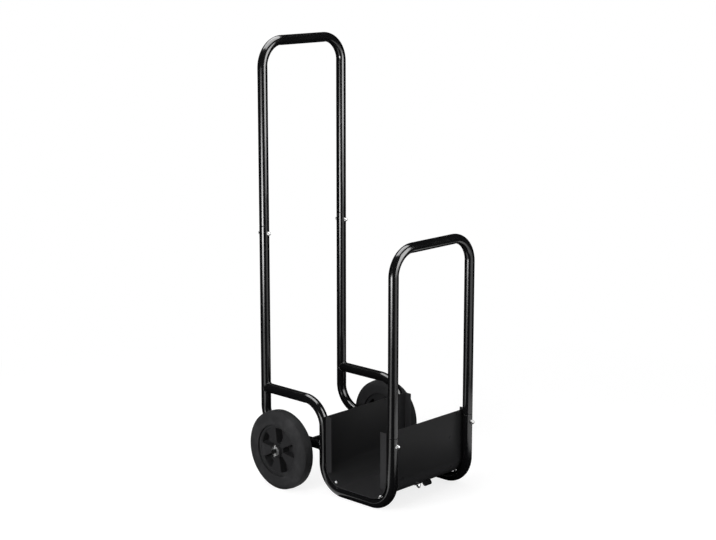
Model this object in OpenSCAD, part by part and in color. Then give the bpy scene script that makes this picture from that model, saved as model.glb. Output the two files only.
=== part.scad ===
// Fireside log cart: a bent tube frame on two runners and two wheels, with a
// sheet tray at its foot. Millimetres. +Z is up, -Y is the front, and the origin
// lies on the floor, midway between the wheels and between the uprights.

/* [Tube frame] */
// Outer diameter of the frame tube
tube_d = 25; // [22:0.5:28]
// Wall thickness of the frame tube
tube_wall = 1.2; // [1:0.1:2]
// Radius of every tube bend, to the tube's centreline
bend_r = 65; // [58:1:70]
// Distance between the two side frames, centre to centre
frame_w = 277; // [240:1:320]
// Distance from the front uprights to the rear uprights, centre to centre
frame_l = 439; // [415:1:480]
// Distance from the front uprights to the middle uprights
bay_l = 230; // [205:1:240]
// Height of the side rail's centreline
rail_h = 230; // [215:1:260]
// Height of the joint in each front upright
front_joint_h = 189.5; // [175:0.5:215]
// Height of the joint in each rear upright
rear_joint_h = 649; // [560:1:720]
// Height of the front hoop's top, to the tube's centreline
hoop_h = 644; // [560:1:720]
// Height of the push handle's top, to the tube's centreline
handle_h = 1108; // [960:1:1200]
// Gap for the weld where a tube's shaped end meets an upright
weld_gap = 0.5; // [0.4:0.1:1]

/* [Tube joints] */
// Length of the reduced end that plugs into the tube below
plug_l = 40; // [34:1:60]
// Gap between the plugged end and the tube round it, on the radius
plug_gap = 0.15; // [0.1:0.05:0.4]
// Distance of the cross bolt below the joint
bolt_drop = 18.5; // [14:0.5:24]
// Diameter of the joint bolts
bolt_d = 6; // [5:0.5:8]
// Gap round a bolt in its holes, on the radius
bolt_gap = 0.2; // [0.1:0.05:0.5]
// Distance across the flats of bolt heads and nuts
hex_af = 10; // [10:0.5:13]
// Height of a bolt's head
bolt_head_h = 4; // [3:0.5:6]
// Height of the hexagon of a cap nut
cap_hex_h = 4.5; // [4:0.5:6]
// Diameter of the dome of a cap nut
cap_dome_d = 9; // [8.5:0.1:10]

/* [Log tray] */
// Thickness of the tray's sheet
sheet_t = 1.2; // [1:0.1:2]
// Height of the tray's front and back walls above the floor
tray_h = 200; // [170:1:205]
// How far the sheet runs past the side frames' centre planes
tray_over = 9; // [8:0.5:14]
// Depth of the flanges at the ends of the walls
flange_depth = 20; // [12:1:30]
// Height at which the flanges stop above the floor
flange_low_h = 57; // [50:1:90]
// Angle of the tray's screws, from the lowest point of the bend
screw_angle = 29; // [20:1:45]
// Diameter of the tray's screws
screw_d = 5; // [4:0.5:6]
// Length of the tray's screws under the head
screw_l = 10; // [8:1:14]
// Diameter of the round heads on the tray
dome_head_d = 10; // [9:0.5:14]
// Height of the round heads on the tray
dome_head_h = 3.4; // [2.5:0.1:4.5]

/* [Tray lug] */
// Distance of the lug's bolt from the middle of the tray
lug_bolt_x = -2; // [-20:1:20]
// Distance from the lug's bolt to its far end
lug_reach = 38; // [30:1:60]
// Distance from the lug's bolt to its near end
lug_heel = 7; // [6:0.5:12]
// Length of the turned-down part of the lug
lug_tab_l = 31; // [15:1:40]
// Depth of the turned-down part of the lug
lug_tab_depth = 13; // [9:0.5:20]
// Thickness of the lug
lug_t = 2; // [1.5:0.5:3]
// Radius of the lug's rounded corners
lug_corner_r = 6; // [3:0.5:8]
// Half the angle that the lug's foot spans on the bend
lug_half_angle = 8; // [7:1:12]

/* [Wheels] */
// Diameter of the tyres
wheel_d = 202; // [180:1:210]
// Width of the tyres
tyre_w = 39; // [34:1:46]
// Radius of the tyre's shoulders
shoulder_r = 13; // [8:1:16]
// Diameter of the rim where the tyre sits on it
rim_d = 132; // [124:1:140]
// Width of the rim
rim_w = 27; // [24:1:30]
// Width of the rim's raised edge, on the radius
rim_edge = 7; // [5:0.5:9]
// Depth of the spokes' face below the rim's raised edge
spoke_step = 2; // [1:0.5:4]
// Thickness of the rim's walls
rim_wall = 3; // [2:0.5:4]
// Number of spokes
spokes = 5; // [4:1:7]
// Angle that each opening between the spokes spans
window_angle = 36; // [28:1:44]
// Radius at the inner end of the openings
window_in_r = 17.5; // [17:0.5:22]
// Radius of the corners of the openings
window_corner_r = 2.5; // [1:0.5:4]
// Angle of the left wheel's first opening, from the front and upwards
left_turn = 9.6; // [0:0.2:72]
// Angle of the right wheel's first opening, from the front and upwards
right_turn = 33; // [0:0.2:72]
// Distance from the side frame's centre plane to the wheel's centre plane
wheel_set = 54.5; // [53:0.5:70]
// Distance of the axle in front of the rear uprights
axle_set = 111; // [90:1:125]

/* [Hub and axle] */
// Diameter of the axle
axle_d = 12; // [10:0.5:14]
// Diameter of the hub
hub_d = 30; // [28:0.5:32]
// Length of the hub on the frame's side of the wheel's centre plane
hub_in = 30; // [26:0.5:32]
// Length of the hub on the outer side of the wheel's centre plane
hub_out = 21; // [20:0.5:26]
// Wall thickness of the bush in the hub
bush_wall = 2; // [1.5:0.1:3]
// Running gap between the axle and the bush, on the radius
run_gap = 0.05; // [0.03:0.01:0.1]
// Gap between the bush and the hub, on the radius
seat_gap = 0.02; // [0.01:0.01:0.05]
// Side play between the hub and each washer
side_play = 0.3; // [0.2:0.1:0.8]
// Diameter of the washers
washer_d = 25; // [20:0.5:28]
// Thickness of the washers
washer_t = 1.5; // [1:0.1:2.5]
// Gap between the washers and the axle, on the radius
washer_gap = 0.2; // [0.1:0.05:0.4]
// Diameter of the spacer sleeves
spacer_d = 20; // [17:0.5:22]
// Diameter of the split pins
pin_d = 3; // [2.5:0.1:3.5]
// Reach of the split pin's legs above the axle's centre
pin_top = 17; // [12:0.5:20]
// Radius of the split pin's eye, to the wire's centreline
pin_eye_r = 2.8; // [2.4:0.1:4]
// Length of the axle past the split pin's centre
axle_end = 5; // [4:0.5:8]

/* [Hidden] */
$fn = 64;
cut = 1;               // how far a cutter runs past a face
touch = 0.05;          // gap between pieces that bear on one another
hex_d = hex_af / cos(30);

tube_r = tube_d / 2;
side_x = frame_w / 2;
front_y = -frame_l / 2;
rear_y = frame_l / 2;
mid_y = front_y + bay_l;

axle_z = wheel_d / 2;
axle_y = rear_y - axle_set;
low_rail_h = axle_z + axle_d / 2 + tube_r;   // the lower rails lie on the axle

// centres of the side frame's bends, in the side frame's plane (Y, Z)
toe_c = [front_y + bend_r, tube_r + bend_r];
heel_c = [mid_y - bend_r, tube_r + bend_r];
rail_c = [mid_y + bend_r, rail_h - bend_r];
tail_c = [rear_y - bend_r, low_rail_h + bend_r];

bore_d = tube_d - 2 * tube_wall;
plug_d = bore_d - 2 * plug_gap;
plug_bore_d = plug_d - 2 * tube_wall;
front_bolt_h = front_joint_h - bolt_drop;
rear_bolt_h = rear_joint_h - bolt_drop;
cap_h = cap_hex_h + 0.5 + cap_dome_d / 2;
cap_bore_h = cap_hex_h + 2;

sheet_r = bend_r - tube_r - touch;           // outer radius of the tray's bends
sheet_in_r = sheet_r - sheet_t;
tray_w = frame_w + 2 * tray_over;
toe_screw_a = 270 - screw_angle;
heel_screw_a = 270 + screw_angle;
// a flat-based head sits a little inside the curved sheet
screw_seat_r = sqrt(pow(sheet_in_r, 2) - pow(dome_head_d / 2, 2)) - touch;
lug_in_r = sheet_r + touch;
lug_out_r = lug_in_r + lug_t;

rim_r = rim_d / 2;
rim_face = rim_w / 2;
spoke_face = rim_face - spoke_step;
window_out_r = rim_r - rim_edge - 1.5;
rib_angle = 360 / spokes - window_angle;
tyre_r = wheel_d / 2;

wheel_x = side_x + wheel_set;
bush_d = axle_d + 2 * run_gap + 2 * bush_wall;
hub_in_x = wheel_x - hub_in;
hub_out_x = wheel_x + hub_out;
washer_in_x = hub_in_x - side_play - washer_t;
washer_out_x = hub_out_x + side_play;
// the spacer's inner end meets the side of the lower rail beside the axle
spacer_rise = low_rail_h - axle_z - spacer_d / 2;
spacer_x = side_x + sqrt(pow(tube_r, 2) - pow(spacer_rise, 2)) + touch;
pin_x = washer_out_x + washer_t + touch + pin_d / 2;
axle_half = pin_x + axle_end;
pin_eye_z = -(axle_d / 2 + pin_eye_r + pin_d / 2 + touch);

// --- places and directions ---

// plane of a side frame: x runs to the rear, y up
module side_plane(x) { translate([x, 0, 0]) rotate([90, 0, 90]) children(); }

// plane of an inverted U: x runs to the right, y up
module cross_plane(y) { translate([0, y, 0]) rotate([90, 0, 0]) children(); }

// across an upright at height h, with z towards the front
module across(x, y, h) { translate([x, y, h]) rotate([90, 0, 0]) children(); }

// on a bend of the side plane, with z pointing out along angle a
module on_bend(c, a) { translate(c) rotate([0, 0, a]) rotate([0, 90, 0]) children(); }

// on the axle, side -1 left or 1 right, with z pointing away from the frame
module on_axle(side) {
  translate([0, axle_y, axle_z]) rotate([0, side * 90, 0]) children();
}

// --- the frame's tubes ---

// straight length of a tube from a to b in the plane
module run(a, b, d) {
  step = b - a;
  translate(a) rotate([0, 0, atan2(step[1], step[0])]) rotate([0, 90, 0])
    cylinder(d = d, h = norm(step));
}

// quarter bend round c that starts at an angle
module bend(c, start, d) {
  translate(c) rotate([0, 0, start]) rotate_extrude(angle = 90)
    translate([bend_r, 0]) circle(d = d);
}

// inverted U with its top at height top, from height foot
module u_path(top, foot, d, past) {
  corner = [side_x - bend_r, top - bend_r];
  run([-side_x, foot - past], [-side_x, corner[1]], d);
  bend([-corner[0], corner[1]], 90, d);
  run([-corner[0], top], [corner[0], top], d);
  bend(corner, 0, d);
  run([side_x, foot - past], [side_x, corner[1]], d);
}

// inverted U whose ends are reduced to plug into the tubes below
module u_tube(top, foot, y, bolt_h) {
  difference() {
    cross_plane(y) union() {
      u_path(top, foot, tube_d, 0);
      for (x = [-side_x, side_x]) run([x, foot - plug_l], [x, foot], plug_d);
    }
    cross_plane(y) union() {
      u_path(top, foot, bore_d, -tube_wall);
      for (x = [-side_x, side_x])
        run([x, foot - plug_l - cut], [x, foot + tube_wall], plug_bore_d);
    }
    for (x = [-side_x, side_x]) across(x, y, bolt_h)
      cylinder(d = bolt_d + 2 * bolt_gap, h = tube_d + 2 * cut, center = true);
  }
}

// front upright, runner, middle upright and side rail in one line
module side_path(d, past) {
  run([front_y, front_joint_h + past], [front_y, toe_c[1]], d);
  bend(toe_c, 180, d);
  run([toe_c[0], tube_r], [heel_c[0], tube_r], d);
  bend(heel_c, 270, d);
  run([mid_y, heel_c[1]], [mid_y, rail_c[1]], d);
  bend(rail_c, 90, d);
  run([rail_c[0], rail_h], [rear_y, rail_h], d);
}

module side_tube(x) {
  difference() {
    side_plane(x) side_path(tube_d, 0);
    side_plane(x) side_path(bore_d, cut);
    // the rail's end is cut to fit round the rear upright
    translate([x, rear_y, rail_h])
      cylinder(d = tube_d + 2 * weld_gap, h = 2 * tube_d, center = true);
    across(x, front_y, front_bolt_h)
      cylinder(d = bolt_d + 2 * bolt_gap, h = tube_d + 2 * cut, center = true);
    side_plane(x) for (hole = [[toe_c, toe_screw_a], [heel_c, heel_screw_a]])
      on_bend(hole[0], hole[1]) translate([0, 0, screw_seat_r])
        cylinder(d = screw_d + 2 * touch, h = bend_r - screw_seat_r);
  }
}

// rear upright, bend and lower rail
module tail_path(d, past) {
  run([rear_y, rear_joint_h + past], [rear_y, tail_c[1]], d);
  bend(tail_c, 270, d);
  run([mid_y, low_rail_h], [tail_c[0], low_rail_h], d);
}

module rear_tube(x) {
  difference() {
    side_plane(x) tail_path(tube_d, 0);
    side_plane(x) tail_path(bore_d, cut);
    // the lower rail's end is cut to fit round the middle upright
    translate([x, mid_y, low_rail_h])
      cylinder(d = tube_d + 2 * weld_gap, h = 2 * tube_d, center = true);
    across(x, rear_y, rear_bolt_h)
      cylinder(d = bolt_d + 2 * bolt_gap, h = tube_d + 2 * cut, center = true);
  }
}

module push_handle() {
  color("#161617") u_tube(handle_h, rear_joint_h, rear_y, rear_bolt_h);
}

module front_hoop() {
  color("#161617") u_tube(hoop_h, front_joint_h, front_y, front_bolt_h);
}

module rear_tube_left() { color("#161617") rear_tube(-side_x); }
module rear_tube_right() { color("#161617") rear_tube(side_x); }
module side_frame_left() { color("#161617") side_tube(-side_x); }
module side_frame_right() { color("#161617") side_tube(side_x); }

// --- joint bolts, with domed cap nuts to the front ---

module hex_bolt(grip) {
  translate([0, 0, -bolt_head_h]) cylinder(d = hex_d, h = bolt_head_h, $fn = 6);
  cylinder(d = bolt_d, h = grip + cap_bore_h - cut);
}

module cap_nut() {
  difference() {
    union() {
      cylinder(d = hex_d, h = cap_hex_h, $fn = 6);
      cylinder(d = cap_dome_d, h = cap_h - cap_dome_d / 2);
      translate([0, 0, cap_h - cap_dome_d / 2]) sphere(d = cap_dome_d);
    }
    translate([0, 0, -cut]) cylinder(d = bolt_d + 2 * touch, h = cap_bore_h + cut);
  }
}

// behind is the thickness that the bolt's head clamps behind the tube
module joint_bolts(y, h, behind = 0) {
  for (x = [-side_x, side_x])
    across(x, y, h) translate([0, 0, -tube_r - behind]) hex_bolt(tube_d + behind);
}

module joint_nuts(y, h) {
  for (x = [-side_x, side_x])
    across(x, y, h) translate([0, 0, tube_r]) cap_nut();
}

module handle_bolts() { color("#c9c9c6") joint_bolts(rear_y, rear_bolt_h); }
module handle_nuts() { color("#c9c9c6") joint_nuts(rear_y, rear_bolt_h); }
// the front joints' bolts hold the tray's front wall too
module hoop_bolts() {
  color("#c9c9c6") joint_bolts(front_y, front_bolt_h, touch + sheet_t);
}
module hoop_nuts() { color("#c9c9c6") joint_nuts(front_y, front_bolt_h); }

// --- the tray, one sheet bent along the inside of the side frames ---

// filled outline of the tray, drawn in from the sheet's outer face
module tray_outline(inset, top) {
  r = sheet_r - inset;
  for (c = [toe_c, heel_c]) translate(c) circle(r = r);
  translate([toe_c[0], toe_c[1] - r]) square([heel_c[0] - toe_c[0], r]);
  translate([toe_c[0] - r, toe_c[1]])
    square([heel_c[0] - toe_c[0] + 2 * r, top - toe_c[1]]);
}

// side flanges of the front and back walls
module flange_outline() {
  span = heel_c[0] - toe_c[0] + 2 * sheet_r;
  intersection() {
    tray_outline(0, tray_h);
    translate([toe_c[0] - sheet_r, flange_low_h]) union() {
      square([flange_depth, tray_h]);
      translate([span - flange_depth, 0]) square([flange_depth, tray_h]);
    }
  }
}

module log_tray() {
  color("#29292a") difference() {
    union() {
      side_plane(0) linear_extrude(tray_w, center = true) difference() {
        tray_outline(0, tray_h);
        tray_outline(sheet_t, tray_h + cut);
      }
      for (side = [-1, 1])
        side_plane(side * (tray_w - sheet_t) / 2)
          linear_extrude(sheet_t, center = true) flange_outline();
    }
    for (x = [-side_x, side_x]) side_plane(x)
      for (hole = [[toe_c, toe_screw_a], [heel_c, heel_screw_a]])
        on_bend(hole[0], hole[1]) translate([0, 0, sheet_in_r - cut])
          cylinder(d = screw_d + 2 * bolt_gap, h = sheet_t + 2 * cut);
    side_plane(lug_bolt_x) on_bend(toe_c, toe_screw_a)
      translate([0, 0, sheet_in_r - cut])
        cylinder(d = bolt_d + 2 * bolt_gap, h = sheet_t + 2 * cut);
    for (x = [-side_x, side_x]) across(x, toe_c[0] - sheet_r, front_bolt_h)
      cylinder(d = bolt_d + 2 * bolt_gap, h = 3 * sheet_t, center = true);
  }
}

// low round head on z = 0 with its shank below
module dome_screw(shank_d, length) {
  ball_r = (pow(dome_head_d / 2, 2) + pow(dome_head_h, 2)) / (2 * dome_head_h);
  intersection() {
    translate([0, 0, dome_head_h - ball_r]) sphere(r = ball_r);
    cylinder(d = dome_head_d + 2 * cut, h = dome_head_h + cut);
  }
  translate([0, 0, -length]) cylinder(d = shank_d, h = length);
}

module tray_screws() {
  color("#c9c9c6") for (x = [-side_x, side_x]) side_plane(x)
    for (hole = [[toe_c, toe_screw_a], [heel_c, heel_screw_a]])
      on_bend(hole[0], hole[1]) translate([0, 0, screw_seat_r])
        rotate([180, 0, 0]) dome_screw(screw_d, screw_l);
}

// --- the lug under the middle of the tray's front bend ---

module tray_lug() {
  tab_a = toe_screw_a - lug_half_angle;
  color("#161617") side_plane(lug_bolt_x) difference() {
    union() {
      translate([toe_c[0], toe_c[1], -lug_heel])
        linear_extrude(lug_heel + lug_reach) lug_foot_outline(tab_a);
      translate([toe_c[0], toe_c[1], lug_reach - lug_tab_l]) rotate([0, 0, tab_a])
        translate([lug_in_r, 0, 0]) rotate([90, 0, 0])
          linear_extrude(lug_t) lug_tab_outline();
    }
    on_bend(toe_c, toe_screw_a) translate([0, 0, lug_in_r - cut])
      cylinder(d = bolt_d + 2 * bolt_gap, h = lug_t + 2 * cut);
  }
}

// strip that follows the bend, from an angle onwards
module lug_foot_outline(start) {
  far = 2 * lug_out_r;
  intersection() {
    difference() {
      circle(r = lug_out_r);
      circle(r = lug_in_r);
    }
    rotate(start) polygon([[0, 0], [far, 0], [far, far * tan(2 * lug_half_angle)]]);
  }
}

// turned-down part, with its two free corners rounded
module lug_tab_outline() {
  r = lug_corner_r;
  square([lug_tab_depth - r, lug_tab_l]);
  translate([0, r]) square([lug_tab_depth, lug_tab_l - 2 * r]);
  for (y = [r, lug_tab_l - r]) translate([lug_tab_depth - r, y]) circle(r = r);
}

// the nut's flat base touches the curved foot along its middle line
module lug_bolt() {
  length = lug_out_r + cap_bore_h - cut - screw_seat_r;
  color("#c9c9c6") side_plane(lug_bolt_x) on_bend(toe_c, toe_screw_a)
    translate([0, 0, screw_seat_r]) rotate([180, 0, 0]) dome_screw(bolt_d, length);
}

module lug_nut() {
  color("#c9c9c6") side_plane(lug_bolt_x) on_bend(toe_c, toe_screw_a)
    translate([0, 0, lug_out_r + touch]) cap_nut();
}

// --- axle and what holds the wheels on it ---

module axle_rod() {
  color("#1c1c1d") difference() {
    translate([0, axle_y, axle_z]) rotate([0, 90, 0])
      cylinder(d = axle_d, h = 2 * axle_half, center = true);
    for (x = [-pin_x, pin_x]) translate([x, axle_y, axle_z])
      cylinder(d = pin_d + 2 * touch, h = 2 * axle_d, center = true);
  }
}

// plain ring round the axle, from x to x + h
module ring(side, x, h, d, bore) {
  on_axle(side) translate([0, 0, x]) difference() {
    cylinder(d = d, h = h);
    translate([0, 0, -cut]) cylinder(d = bore, h = h + 2 * cut);
  }
}

module spacer(side) {
  ring(side, spacer_x, washer_in_x - touch - spacer_x, spacer_d, axle_d + 2 * touch);
}

module washers(x) {
  for (side = [-1, 1])
    ring(side, x, washer_t, washer_d, axle_d + 2 * washer_gap);
}

// legs up through the axle, eye below it
module split_pin(side) {
  translate([side * pin_x, axle_y, axle_z]) {
    translate([0, 0, pin_eye_z + pin_eye_r])
      cylinder(d = pin_d, h = pin_top - pin_eye_z - pin_eye_r);
    translate([0, 0, pin_eye_z]) rotate([0, 90, 0]) rotate_extrude()
      translate([pin_eye_r, 0]) circle(d = pin_d);
  }
}

module spacer_left() { color("#1c1c1d") spacer(-1); }
module spacer_right() { color("#1c1c1d") spacer(1); }
module inner_washers() { color("#c9c9c6") washers(washer_in_x); }
module outer_washers() { color("#c9c9c6") washers(washer_out_x); }
module split_pin_left() { color("#b9b9b6") split_pin(-1); }
module split_pin_right() { color("#b9b9b6") split_pin(1); }

// --- wheels ---

module tyre(side) {
  shoulder_c = [tyre_r - shoulder_r, tyre_w / 2 - shoulder_r];
  on_axle(side) translate([0, 0, wheel_x]) rotate_extrude($fn = 128) {
    translate([rim_r, -tyre_w / 2]) square([shoulder_c[0] - rim_r, tyre_w]);
    translate([rim_r, -shoulder_c[1]]) square([tyre_r - rim_r, 2 * shoulder_c[1]]);
    for (y = [-shoulder_c[1], shoulder_c[1]])
      translate([shoulder_c[0], y]) circle(r = shoulder_r);
  }
}

// sectors between two radii, rounded at their corners
module sectors(in_r, out_r, angle, turn) {
  far = 2 * out_r;
  offset(r = window_corner_r) offset(delta = -window_corner_r)
    for (i = [0 : spokes - 1]) rotate(turn + i * 360 / spokes) intersection() {
      difference() {
        circle(r = out_r);
        circle(r = in_r);
      }
      polygon([[0, 0], [far, -far * tan(angle / 2)], [far, far * tan(angle / 2)]]);
    }
}

// pockets open outwards between the spokes, and inwards behind each spoke
module rim(side, turn) {
  hub_r = hub_d / 2;
  on_axle(side) translate([0, 0, wheel_x]) difference() {
    union() {
      translate([0, 0, -rim_face]) cylinder(r = rim_r, h = rim_w, $fn = 128);
      translate([0, 0, -hub_in]) cylinder(r = hub_r, h = hub_in + hub_out);
    }
    // the spokes' face lies below the raised edge
    translate([0, 0, spoke_face]) difference() {
      cylinder(r = rim_r - rim_edge, h = rim_w, $fn = 128);
      translate([0, 0, -cut]) cylinder(r = hub_r, h = rim_w + 2 * cut);
    }
    translate([0, 0, rim_wall - rim_face]) linear_extrude(rim_w)
      sectors(window_in_r, window_out_r, window_angle, turn);
    translate([0, 0, -rim_face - cut])
      linear_extrude(spoke_face + rim_face - rim_wall + cut)
        sectors(window_in_r + rim_wall, window_out_r, rib_angle - 2 * rim_wall, turn + 180 / spokes);
    translate([0, 0, -hub_in - cut])
      cylinder(d = bush_d + 2 * seat_gap, h = hub_in + hub_out + 2 * cut);
  }
}

module bush(side) {
  ring(side, hub_in_x, hub_in + hub_out, bush_d, axle_d + 2 * run_gap);
}

module tyre_left() { color("#2b2b2c") tyre(-1); }
module tyre_right() { color("#2b2b2c") tyre(1); }
// the wheel's own x axis points up on the left and down on the right
module rim_left() { color("#303032") rim(-1, left_turn - 90); }
module rim_right() { color("#303032") rim(1, 270 - right_turn); }
module bush_left() { color("#8a8a88") bush(-1); }
module bush_right() { color("#8a8a88") bush(1); }

push_handle();
front_hoop();
rear_tube_left();
rear_tube_right();
side_frame_left();
side_frame_right();
axle_rod();
log_tray();
tray_lug();
lug_bolt();
lug_nut();
handle_bolts();
handle_nuts();
hoop_bolts();
hoop_nuts();
tray_screws();
tyre_left();
tyre_right();
rim_left();
rim_right();
bush_left();
bush_right();
spacer_left();
spacer_right();
inner_washers();
outer_washers();
split_pin_left();
split_pin_right();
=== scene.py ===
import math
import bmesh
import bpy
from mathutils import Matrix, Vector


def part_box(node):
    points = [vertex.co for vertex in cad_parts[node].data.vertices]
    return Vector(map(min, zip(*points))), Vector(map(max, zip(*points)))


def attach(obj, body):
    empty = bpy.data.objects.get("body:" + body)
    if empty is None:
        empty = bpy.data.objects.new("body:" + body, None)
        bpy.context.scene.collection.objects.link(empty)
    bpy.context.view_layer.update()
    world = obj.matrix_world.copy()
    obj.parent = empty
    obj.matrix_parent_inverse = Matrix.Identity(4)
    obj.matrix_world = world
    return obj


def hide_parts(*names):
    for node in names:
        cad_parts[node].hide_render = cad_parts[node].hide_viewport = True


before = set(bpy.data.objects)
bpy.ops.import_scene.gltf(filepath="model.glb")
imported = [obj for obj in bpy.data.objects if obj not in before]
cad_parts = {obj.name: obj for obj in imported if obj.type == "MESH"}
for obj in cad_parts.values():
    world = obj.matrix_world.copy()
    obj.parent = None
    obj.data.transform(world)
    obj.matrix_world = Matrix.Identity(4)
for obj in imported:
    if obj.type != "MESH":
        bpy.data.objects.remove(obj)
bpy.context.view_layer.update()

# ---- side frames -----------------------------
# One steel tube a side, cold bent into front upright, runner, middle upright and
# side rail, and powder coated gloss black. The rail's end is cut to fit round the
# rear upright, and welded there.

mm = 0.001
quarter, full_turn = math.pi / 2, 2 * math.pi
LEFT, RIGHT = -1, 1
sides = ((LEFT, "left"), (RIGHT, "right"))
UP, DOWN = Vector((0, 0, 1)), Vector((0, 0, -1))
BACK, FORTH = Vector((0, 1, 0)), Vector((0, -1, 0))

frame_lo, frame_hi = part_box("side_frame_right")
handle_lo, handle_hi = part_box("push_handle")
tube_r = (frame_hi.x - frame_lo.x) / 2
side_x = (frame_hi.x + frame_lo.x) / 2
front_y = frame_lo.y + tube_r
rear_y = (handle_lo.y + handle_hi.y) / 2
rail_z = frame_hi.z - tube_r
plug_length = 40 * mm
front_joint_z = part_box("front_hoop")[0].z + plug_length
runner_length = 230 * mm
mid_y = front_y + runner_length
bend_r = 65 * mm
tube_wall = 1.2 * mm
weld_gap = 0.5 * mm
tube_sides = 56
bend_steps = 22
bend_press = 0.10        # how much flatter a bend is on its inner side
bend_ease = 0.22         # angle over which the flattening fades out, in radians
bend_deep = 1.1 * tube_r   # how far in from the bend's middle the flattening reaches
hair = 0.01 * mm         # corners closer than this lie in one place


def mouth(bm, at, heading, outer):
    """Flat ring of faces across a tube's open end."""
    turn = UP.rotation_difference(heading).to_matrix().to_4x4()
    made = bmesh.ops.create_circle(bm, cap_ends=True, segments=tube_sides,
                                   radius=outer, matrix=Matrix.Translation(at) @ turn)
    disc = made["verts"][0].link_faces[0]
    ring = bmesh.ops.inset_region(bm, faces=[disc], thickness=tube_wall,
                                  use_boundary=True)["faces"]
    bmesh.ops.delete(bm, geom=[disc], context="FACES_ONLY")
    return ring


def of_kind(geom, kind):
    return [item for item in geom if isinstance(item, kind)]


def whole(faces):
    """Faces with their edges and corners, so that drawing them on leaves no wall inside."""
    return (faces + list({e for face in faces for e in face.edges})
            + list({v for face in faces for v in face.verts}))


def draw_out(bm, ring, step):
    """Draws the ring straight on."""
    made = bmesh.ops.extrude_face_region(bm, geom=whole(ring))["geom"]
    bmesh.ops.translate(bm, verts=of_kind(made, bmesh.types.BMVert), vec=step)
    return of_kind(made, bmesh.types.BMFace)


def press_bend(bm, centre, start, end):
    """Flattens the inner side of a quarter bend a little, as cold bending does."""
    for vert in bm.verts:
        arm = vert.co - centre
        along, across = arm.dot(end), arm.dot(start)
        angle = math.atan2(along, across)
        reach = math.hypot(along, across)
        if 0 < angle < quarter and bend_r - bend_deep < reach < bend_r:
            share = min(1, min(angle, quarter - angle) / bend_ease)
            share = share * share * (3 - 2 * share)
            grown = bend_r - (bend_r - reach) * (1 - bend_press * share)
            vert.co += (start * across + end * along) * (grown / reach - 1)


def bent_tube(start, heading, route, outer=tube_r):
    """Draws a tube along straight lengths and quarter bends. Gives its bmesh and last ring."""
    bm = bmesh.new()
    ring = mouth(bm, start, heading, outer)
    at = start.copy()
    for leg, what in route:
        if leg == "run":
            ring = draw_out(bm, ring, heading * what)
            at += heading * what
        elif leg == "shoulder":
            ring = swell(bm, ring, at, heading, what)
            at += heading * shoulder
        else:
            centre = at + what * bend_r
            swept = bmesh.ops.spin(bm, geom=whole(ring), cent=centre, axis=heading.cross(what),
                                   angle=quarter, steps=bend_steps)["geom_last"]
            ring = of_kind(swept, bmesh.types.BMFace)
            press_bend(bm, centre, -what, heading)
            at = centre + heading * bend_r
            heading = what
    return bm, ring


def cope(ring, upright_y, facing):
    """Shapes a rail's end to the round upright that it is welded to."""
    seat = tube_r + weld_gap
    for vert in {v for face in ring for v in face.verts}:
        off = abs(vert.co.x) - side_x
        vert.co.y = upright_y - facing * math.sqrt(seat ** 2 - off ** 2)


def rounded(bm, geom, width, steps, affect="EDGES"):
    """Rounds edges or corners over the given width."""
    bmesh.ops.bevel(bm, geom=geom, offset=width, offset_type="OFFSET", segments=steps,
                    profile=0.5, affect=affect, clamp_overlap=True, material=-1)


def ease_mouth(bm, height, x, y):
    """Rounds the outer edge of an upright's open top."""
    eased = 0.5 * mm
    rim = [e for e in bm.edges if all(
        abs(v.co.z - height) < hair
        and abs(math.hypot(v.co.x - x, v.co.y - y) - tube_r) < 5 * hair for v in e.verts)]
    rounded(bm, rim, eased, 3)


def placed(name, data):
    """Puts a mesh, a lamp or the camera into the scene."""
    made = bpy.data.objects.new(name, data)
    bpy.context.scene.collection.objects.link(made)
    return made


def set_down(bm, name, material):
    """Makes a piece of the bmesh."""
    mesh = bpy.data.meshes.new(name)
    bm.to_mesh(mesh)
    bm.free()
    mesh.materials.append(material)
    return placed(name, mesh)


def fitted(piece, body, replaced):
    """Evens a piece's shading, sets it on its body and hides the parts it stands in for."""
    flat = piece.modifiers.new("flat_faces", "WEIGHTED_NORMAL")
    flat.keep_sharp = True
    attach(piece, body)
    if replaced:
        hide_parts(*replaced)


def made_of(bm, name, material, body, replaced, crease=32):
    """Closes off a piece: merges doubles, turns its faces out and sets it on its body."""
    bmesh.ops.remove_doubles(bm, verts=bm.verts, dist=0.002 * mm)
    bmesh.ops.recalc_face_normals(bm, faces=bm.faces)
    for face in bm.faces:
        face.smooth = True
    for edge in bm.edges:
        edge.smooth = edge.calc_face_angle(0) < math.radians(crease)
    fitted(set_down(bm, name, material), body, replaced)


def give(tree, value, socket):
    """Sets a node's input to a number or a colour, or links it to another node's output."""
    if isinstance(value, (float, tuple)):
        socket.default_value = value
    else:
        tree.links.new(value, socket)


def fill_in(tree, node, **values):
    """Gives a node several inputs. An underscore stands for a space in an input's name."""
    for word, value in values.items():
        give(tree, value, node.inputs[word.replace("_", " ")])
    return node


def new_node(tree, kind, **values):
    return fill_in(tree, tree.nodes.new("ShaderNode" + kind), **values)


def noise(tree, scale, detail, coords, rough=0.5):
    return new_node(tree, "TexNoise", Vector=coords, Scale=scale, Detail=detail,
                    Roughness=rough).outputs["Fac"]


def remap(tree, value, low, high, to_low, to_high):
    return new_node(tree, "MapRange", Value=value, From_Min=low, From_Max=high, To_Min=to_low,
                    To_Max=to_high).outputs["Result"]


def reckon(tree, how, first, second):
    made = new_node(tree, "Math")
    made.operation = how
    give(tree, first, made.inputs[0])
    give(tree, second, made.inputs[1])
    return made.outputs["Value"]


def blend_colours(tree, share, first, second):
    made = new_node(tree, "Mix")
    made.data_type = "RGBA"
    for word, value in (("Factor", share), ("A", first), ("B", second)):
        give(tree, value, next(s for s in made.inputs if s.name == word and s.enabled))
    return next(s for s in made.outputs if s.enabled)


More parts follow.
